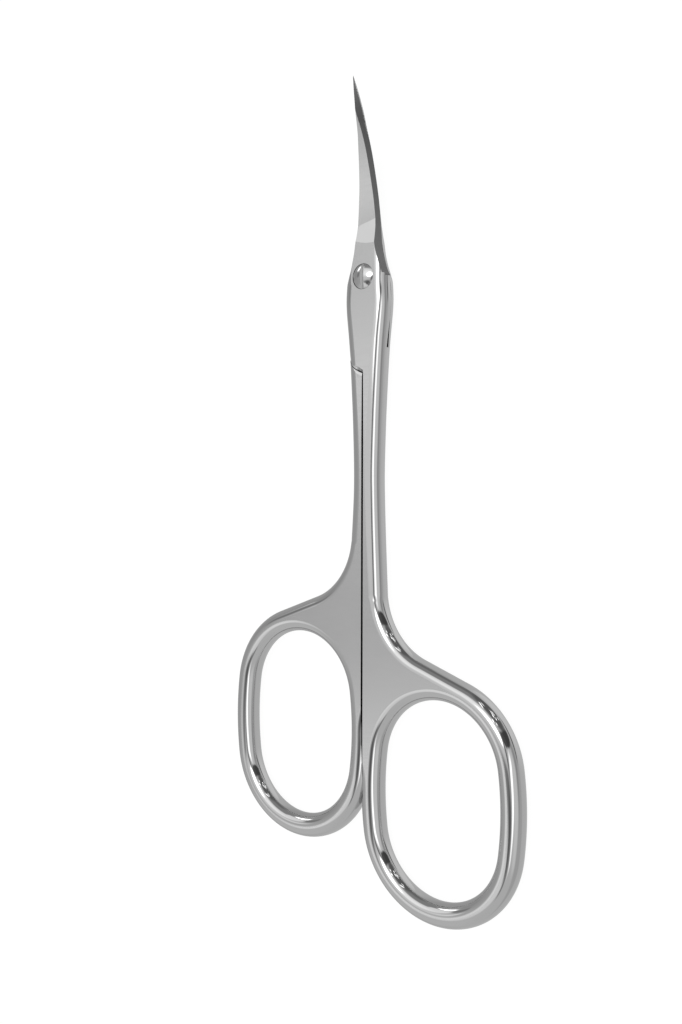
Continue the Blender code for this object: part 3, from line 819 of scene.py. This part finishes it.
def studio_world():
    """White for the camera, and the studio's cards for the steel."""
    world = bpy.data.worlds.new("studio")
    bpy.context.scene.world = world
    world.use_nodes = True
    nodes, links = world.node_tree.nodes, world.node_tree.links
    nodes.clear()
    coordinates = nodes.new("ShaderNodeTexCoord")
    split = nodes.new("ShaderNodeSeparateXYZ")
    links.new(coordinates.outputs["Generated"], split.inputs[0])
    across = nodes.new("ShaderNodeMath")
    across.operation = "ARCTAN2"
    links.new(split.outputs["X"], across.inputs[0])
    links.new(split.outputs["Z"], across.inputs[1])
    along = nodes.new("ShaderNodeMath")
    along.operation = "ARCSINE"
    links.new(split.outputs["Y"], along.inputs[0])
    joined = nodes.new("ShaderNodeCombineXYZ")
    links.new(across.outputs[0], joined.inputs["X"])
    links.new(along.outputs[0], joined.inputs["Y"])
    angles = nodes.new("ShaderNodeVectorMath")
    angles.operation = "SCALE"
    angles.inputs["Scale"].default_value = 1 / DEGREE
    links.new(joined.outputs[0], angles.inputs[0])
    group = card_group()
    surround = light_for(STUDIO_TONE)
    light = None
    for angle, height, half_wide, half_high, turn, softness, tone in STUDIO_CARDS:
        card = nodes.new("ShaderNodeGroup")
        card.node_tree = group
        card.inputs["Centre"].default_value = (angle, height, 0)
        card.inputs["Half Size"].default_value = (half_wide, half_high, 1)
        card.inputs["Turn"].default_value = radians(-turn)
        card.inputs["Softness"].default_value = softness
        links.new(angles.outputs[0], card.inputs["Angles"])
        mixed = nodes.new("ShaderNodeMapRange")
        mixed.inputs["To Min"].default_value = surround
        mixed.inputs["To Max"].default_value = light_for(tone)
        if light:
            links.new(light, mixed.inputs["To Min"])
        links.new(card.outputs["Mask"], mixed.inputs["Value"])
        light = mixed.outputs["Result"]
    studio = nodes.new("ShaderNodeBackground")
    studio.inputs["Color"].default_value = (1, 1, 1, 1)
    links.new(light, studio.inputs["Strength"])
    white = nodes.new("ShaderNodeBackground")
    white.inputs["Color"].default_value = (1, 1, 1, 1)
    path = nodes.new("ShaderNodeLightPath")
    mixed = nodes.new("ShaderNodeMixShader")
    links.new(path.outputs["Is Camera Ray"], mixed.inputs["Fac"])
    links.new(studio.outputs[0], mixed.inputs[1])
    links.new(white.outputs[0], mixed.inputs[2])
    output = nodes.new("ShaderNodeOutputWorld")
    links.new(mixed.outputs[0], output.inputs["Surface"])


FLOOR_SIZE = 4.0
FLOOR_COLOUR = 0.12
FLOOR_GLOW = 0.94


def studio_floor():
    """A white floor that keeps a faint shadow. The metal shows the studio instead of it."""
    bpy.ops.object.select_all(action="DESELECT")
    bpy.ops.mesh.primitive_plane_add(size=FLOOR_SIZE)
    floor = bpy.context.object
    floor.name = "floor"
    material, nodes, links = new_material("white_floor")
    shader = nodes["Principled BSDF"]
    shader.inputs["Base Color"].default_value = (FLOOR_COLOUR, FLOOR_COLOUR, FLOOR_COLOUR, 1)
    shader.inputs["Roughness"].default_value = 1
    shader.inputs["Specular IOR Level"].default_value = 0
    shader.inputs["Emission Color"].default_value = (1, 1, 1, 1)
    path = nodes.new("ShaderNodeLightPath")
    lift = nodes.new("ShaderNodeMath")
    lift.operation = "MULTIPLY"
    lift.inputs[1].default_value = FLOOR_GLOW
    links.new(path.outputs["Is Camera Ray"], lift.inputs[0])
    links.new(lift.outputs[0], shader.inputs["Emission Strength"])
    floor.data.materials.append(material)
    floor.visible_glossy = False


satin = steel("satin_steel", STEEL_COLOUR, SCRATCHES, rough_low=0.16, rough_high=0.22, bump=0.01)
polish = steel("polished_steel", STEEL_COLOUR, SCRATCHES, rough_low=0.04, rough_high=0.07, bump=0.002)
# The ground bevel: rougher from grinding, and painted darker, a painted shade for the dark it reflects
ground = steel("ground_bevel_painted_dark", BEVEL_SHADE_COLOUR, SCRATCHES, rough_low=0.38, rough_high=0.46, bump=0.01)
bright = steel("bright_steel", STEEL_COLOUR, EVEN_GRAIN, rough_low=0.04, rough_high=0.07, bump=0.002)
# Painted shade: a darker steel for the floor of the screw's slot
slot_painted_shade = steel("slot_painted_shade", SLOT_SHADE_COLOUR, EVEN_GRAIN, rough_low=0.4, rough_high=0.5, bump=0.01)

front = scissor_half("front", FINGER_RING_DROP, FINGER_WEB_WIDTH, FRONT_LAP_DROP, BACK_LAP_DROP, True)
back = scissor_half("back", THUMB_RING_DROP, THUMB_WEB_WIDTH, BACK_LAP_DROP, FRONT_LAP_DROP, False)
back.data.transform(TURNED_OVER)
for piece in (front, back):
    crease(piece)
    shrink(piece)
    bend_blade(piece)
finish_piece(front, "front", "front_half", [satin, polish, ground])
finish_piece(back, "back", "back_half", [satin, polish, ground])
screw = pivot_screw()
crease(screw)
shrink(screw)
finish_piece(screw, "back", "pivot_screw", [bright, slot_painted_shade])

studio_camera()
studio_world()
studio_floor()
bpy.context.scene.view_settings.view_transform = "Standard"
